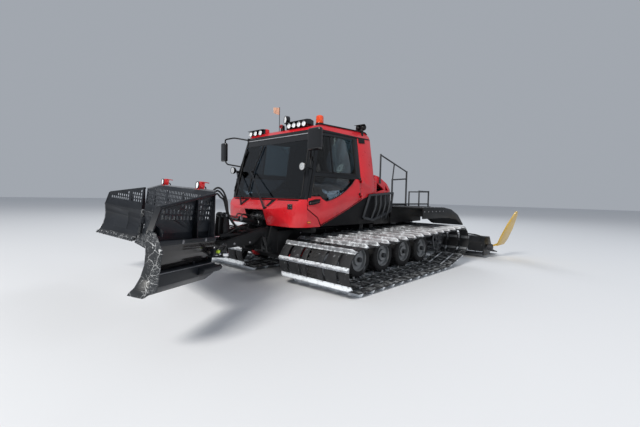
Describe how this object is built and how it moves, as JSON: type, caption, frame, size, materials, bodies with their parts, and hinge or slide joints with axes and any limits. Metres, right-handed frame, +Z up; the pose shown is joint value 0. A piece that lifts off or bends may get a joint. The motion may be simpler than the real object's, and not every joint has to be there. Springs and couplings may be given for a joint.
{
  "type": "snowcat groomer",
  "caption": "Tracked snow groomer with a hollow two-seat cab, a folding front blade on a lifting frame, an engine deck and a rear tiller with folding side finishers",
  "frame": {"origin": "on the ground under the middle of the machine's box, blade and tiller included", "axes": "+Z up, -Y forward (the way it drives), +X the machine's left"},
  "size_m": [5.464, 9.6646, 3.24],
  "materials": {
    "black_paint": "satin",
    "red_paint": "gloss",
    "grey_paint": "satin",
    "yellow_paint": "satin",
    "tyre": "matt",
    "belt_rubber": "matt",
    "tinted_glass": "gloss",
    "seat_black": "matt",
    "lamp_clear": "gloss",
    "trim_black": "matt",
    "cast_grey": "matt",
    "chrome_rod": "polished",
    "blade_steel": "worn"
  },
  "bodies": {
    "chassis": {"frame": "black_paint", "running_gear": "grey_paint", "wheels_left": "tyre", "wheels_right": "tyre", "track_left": "belt_rubber", "track_right": "belt_rubber", "cab_base": "black_paint", "cab_cell": "red_paint", "cab_nose": "red_paint", "roof": "red_paint", "cab_glass": "tinted_glass", "interior": "seat_black", "engine": "cast_grey", "engine_covers": "red_paint", "tube_guards": "grey_paint", "deck": "black_paint", "lamps": "lamp_clear", "cab_fittings": "trim_black"},
    "steering": {"steering_wheel": "trim_black"},
    "hood": {"hood": "red_paint"},
    "door_left": {"door_left": "red_paint", "door_left_glass": "tinted_glass"},
    "door_right": {"door_right": "red_paint", "door_right_glass": "tinted_glass"},
    "lift_frame": {"lift_frame": "black_paint", "slew_barrels": "black_paint"},
    "lift_barrels": {"lift_barrels": "black_paint"},
    "lift_rods": {"lift_rods": "chrome_rod"},
    "slew_head": {"slew_head": "black_paint"},
    "slew_rod_left": {"slew_rod_left": "chrome_rod"},
    "slew_rod_right": {"slew_rod_right": "chrome_rod"},
    "tilt_plate": {"tilt_plate": "black_paint"},
    "blade_centre": {"blade_centre": "blade_steel", "wing_barrels": "black_paint"},
    "wing_left": {"wing_left": "blade_steel"},
    "wing_right": {"wing_right": "blade_steel"},
    "wing_rod_left": {"wing_rod_left": "chrome_rod"},
    "wing_rod_right": {"wing_rod_right": "chrome_rod"},
    "rear_frame": {"rear_frame": "black_paint"},
    "rear_barrels": {"rear_barrels": "black_paint"},
    "rear_rods": {"rear_rods": "chrome_rod"},
    "tiller": {"tiller_housing": "black_paint"},
    "rotor": {"tiller_rotor": "cast_grey"},
    "finisher_left": {"finisher_left": "yellow_paint"},
    "finisher_right": {"finisher_right": "yellow_paint"}
  },
  "joints": [
    {"name": "steering_turn", "type": "hinge", "parent": "chassis", "child": "steering", "pos_m": [-0.06, -1.42771, 1.52], "axis": [0, 0.5299, 0.848], "range_deg": [-140, 140]},
    {"name": "hood_open", "type": "hinge", "parent": "chassis", "child": "hood", "pos_m": [0, 0.17729, 1.985], "axis": [1, 0, 0], "range_deg": [0, 50]},
    {"name": "door_left_open", "type": "hinge", "parent": "chassis", "child": "door_left", "pos_m": [1.072, -0.33871, 1.9], "axis": [0, 0, 1], "range_deg": [0, 88]},
    {"name": "door_right_open", "type": "hinge", "parent": "chassis", "child": "door_right", "pos_m": [-1.072, -0.33871, 1.9], "axis": [0, 0, -1], "range_deg": [0, 88]},
    {"name": "blade_lift", "type": "hinge", "parent": "chassis", "child": "lift_frame", "pos_m": [0, -2.06771, 0.6], "axis": [-1, 0, 0], "range_deg": [-26, 8]},
    {"name": "lift_barrel_swing", "type": "hinge", "parent": "chassis", "child": "lift_barrels", "pos_m": [0, -2.02771, 1.01], "axis": [-1, 0, 0], "range_deg": [-26.14, 8.39]},
    {"name": "lift_rod_slide", "type": "slide", "parent": "lift_barrels", "child": "lift_rods", "axis": [0, -0.9746, 0.2239], "range_m": [-0.0569, 0.1838]},
    {"name": "blade_slew", "type": "hinge", "parent": "lift_frame", "child": "slew_head", "pos_m": [0, -3.33771, 0.85], "axis": [0, 0, 1], "range_deg": [-20, 29]},
    {"name": "slew_rod_left_slide", "type": "slide", "parent": "lift_frame", "child": "slew_rod_left", "axis": [0.0228, -0.9997, 0], "range_m": [-0.1073, 0.0742]},
    {"name": "slew_rod_right_slide", "type": "slide", "parent": "lift_frame", "child": "slew_rod_right", "axis": [-0.0196, -0.9998, 0], "range_m": [-0.0742, 0.1073]},
    {"name": "blade_tilt", "type": "hinge", "parent": "slew_head", "child": "tilt_plate", "pos_m": [0, -3.33771, 0.85], "axis": [0.0854, 0.9963, 0], "range_deg": [-9, 5]},
    {"name": "blade_lean", "type": "hinge", "parent": "tilt_plate", "child": "blade_centre", "pos_m": [-0.02587, -3.53823, 0.67321], "axis": [0.9952, -0.0853, -0.0488], "range_deg": [-5, 12]},
    {"name": "wing_left_fold", "type": "hinge", "parent": "blade_centre", "child": "wing_left", "pos_m": [1.32443, -3.78581, 0.77317], "axis": [-0.0584, -0.113, -0.9919], "range_deg": [-74, 7]},
    {"name": "wing_right_fold", "type": "hinge", "parent": "blade_centre", "child": "wing_right", "pos_m": [-1.38239, -3.55375, 0.90604], "axis": [0.0584, 0.113, 0.9919], "range_deg": [-39, 42]},
    {"name": "wing_rod_left_slide", "type": "slide", "parent": "blade_centre", "child": "wing_rod_left", "axis": [0.9952, -0.0853, -0.0488], "range_m": [-0.242, 0.0233]},
    {"name": "wing_rod_right_slide", "type": "slide", "parent": "blade_centre", "child": "wing_rod_right", "axis": [-0.9952, 0.0853, 0.0488], "range_m": [-0.1278, 0.1376]},
    {"name": "rear_lift", "type": "hinge", "parent": "chassis", "child": "rear_frame", "pos_m": [0, 2.71229, 0.62], "axis": [1, 0, 0], "range_deg": [-3, 25]},
    {"name": "rear_barrel_swing", "type": "hinge", "parent": "chassis", "child": "rear_barrels", "pos_m": [0, 2.63229, 0.945], "axis": [1, 0, 0], "range_deg": [-3.02, 21.5]},
    {"name": "rear_rod_slide", "type": "slide", "parent": "rear_barrels", "child": "rear_rods", "axis": [0, 0.976, -0.2177], "range_m": [-0.1393, 0.0172]},
    {"name": "tiller_float", "type": "hinge", "parent": "rear_frame", "child": "tiller", "pos_m": [0, 3.53229, 0.48], "axis": [0, 1, 0], "range_deg": [-6, 6]},
    {"name": "rotor_spin", "type": "hinge", "parent": "tiller", "child": "rotor", "pos_m": [0, 3.83229, 0.29], "axis": [1, 0, 0], "continuous": true},
    {"name": "finisher_left_fold", "type": "hinge", "parent": "tiller", "child": "finisher_left", "pos_m": [2.136, 3.83229, 0.3], "axis": [0, -1, 0], "range_deg": [-65, 25]},
    {"name": "finisher_right_fold", "type": "hinge", "parent": "tiller", "child": "finisher_right", "pos_m": [-2.136, 3.83229, 0.3], "axis": [0, 1, 0], "range_deg": [-65, 25]}
  ],
  "couplings": [
    {"joint": "lift_barrel_swing", "follows": "blade_lift", "ratio": 0.986},
    {"joint": "lift_rod_slide", "follows": "blade_lift", "m_per_rad": -0.404},
    {"joint": "slew_rod_left_slide", "follows": "blade_slew", "m_per_rad": -0.211},
    {"joint": "slew_rod_right_slide", "follows": "blade_slew", "m_per_rad": 0.211},
    {"joint": "wing_rod_left_slide", "follows": "wing_left_fold", "m_per_rad": 0.187},
    {"joint": "wing_rod_right_slide", "follows": "wing_right_fold", "m_per_rad": 0.187},
    {"joint": "rear_barrel_swing", "follows": "rear_lift", "ratio": 0.84},
    {"joint": "rear_rod_slide", "follows": "rear_lift", "m_per_rad": -0.318}
  ]
}
